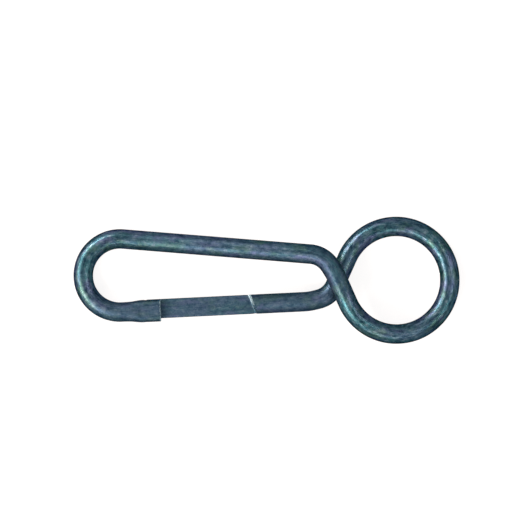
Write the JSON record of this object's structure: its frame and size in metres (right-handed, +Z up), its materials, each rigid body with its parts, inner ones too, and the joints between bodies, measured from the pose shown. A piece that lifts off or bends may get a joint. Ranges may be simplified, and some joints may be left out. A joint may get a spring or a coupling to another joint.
{
  "type": "wire snap hook",
  "caption": "Snap hook bent from one spring-steel wire: a round eye, a crossed neck, a long back limb, a round bow, and a sprung gate arm whose half-round tongue lies behind a flattened nose.",
  "frame": {"origin": "centre of the eye, at the middle of the wire's thickness in the gate, the bow and the near half of the eye", "axes": "+X from the bow to the eye along the hook, +Y across the hook from the gate to the back limb, +Z up out of the flat hook on the side where the nose lies over the tongue"},
  "size_m": [0.0791, 0.026, 0.0088],
  "materials": {
    "blued_wire": "drawn spring-steel wire, hardened and blued to a dark blue-grey, semi-gloss, lightly rubbed",
    "cut_steel": "the same wire where it is pressed, sheared and milled, with bright worn edges"
  },
  "bodies": {
    "hook": {"nose_lip": "cut_steel", "hook_bow": "blued_wire", "back_limb": "blued_wire", "neck_bend": "blued_wire", "front_strand": "blued_wire", "eye_lower_left": "blued_wire"},
    "eye": {"eye_lower_right": "blued_wire", "eye_upper_right": "blued_wire"},
    "gate": {"eye_upper_left": "blued_wire", "rear_strand": "blued_wire", "root_bend": "blued_wire", "gate_arm": "blued_wire", "gate_tongue": "cut_steel"}
  },
  "joints": [
    {"name": "eye_flex", "type": "hinge", "parent": "hook", "child": "eye", "pos_m": [0, -0.011, 0.0018], "axis": [0, 0, -1], "range_deg": [0, 5.4], "stiffness_Nm_per_rad": 74},
    {"name": "gate_flex", "type": "hinge", "parent": "eye", "child": "gate", "pos_m": [0, 0.011, 0], "axis": [0, 0, -1], "range_deg": [0, 5.4], "stiffness_Nm_per_rad": 74}
  ],
  "couplings": [
    {"joint": "gate_flex", "follows": "eye_flex", "ratio": 1}
  ]
}
